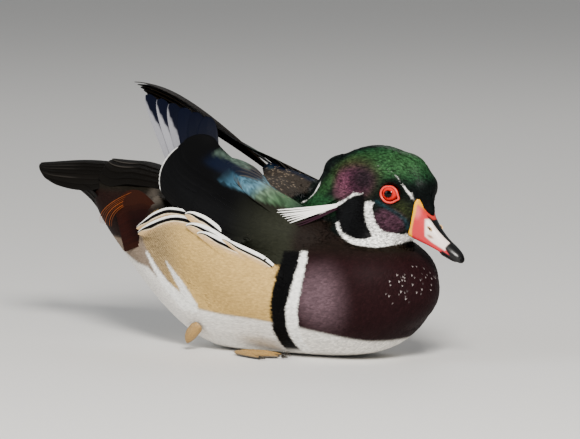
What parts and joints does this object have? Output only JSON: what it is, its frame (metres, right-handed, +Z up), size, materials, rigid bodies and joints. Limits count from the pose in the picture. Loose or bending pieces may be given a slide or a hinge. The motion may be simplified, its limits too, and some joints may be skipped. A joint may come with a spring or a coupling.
{
  "type": "drake wood duck, resting as it floats",
  "caption": "Still, life-size model of a drake wood duck sitting on its belly, wing tips and tail raised, crest laid back, head drawn in and bill pointing down.",
  "frame": {"origin": "middle of the flat that the belly rests on", "axes": "+X towards the bill, +Y to the bird's left, +Z up"},
  "size_m": [0.3834, 0.1334, 0.1938],
  "materials": {
    "body_feathers": "soft, silky feathers",
    "head_feathers": "glossy, iridescent feathers",
    "bill": "smooth horn with a soft shine",
    "eye": "wet and glossy",
    "eye_ring": "bare, smooth skin",
    "flank_feathers": "soft feathers with fine lines",
    "wing_feathers": "firm, glossy feathers",
    "rump_feathers": "loose, silky feathers",
    "tail_feathers": "firm feathers with a soft shine",
    "foot_skin": "scaled skin and thin webs"
  },
  "bodies": {
    "root": {"torso": "body_feathers", "neck": "body_feathers", "head": "head_feathers", "crest": "head_feathers", "bill_upper": "bill", "bill_lower": "bill", "eye_right": "eye", "eye_left": "eye", "eye_ring_right": "eye_ring", "eye_ring_left": "eye_ring", "flank_right": "flank_feathers", "flank_left": "flank_feathers", "wing_right": "wing_feathers", "wing_left": "wing_feathers", "primaries_right": "wing_feathers", "rump_right": "rump_feathers", "rump_left": "rump_feathers", "leg_right": "foot_skin", "leg_left": "foot_skin", "foot_right": "foot_skin", "foot_left": "foot_skin", "tail": "tail_feathers", "tail_coverts_under": "tail_feathers"}
  },
  "joints": []
}
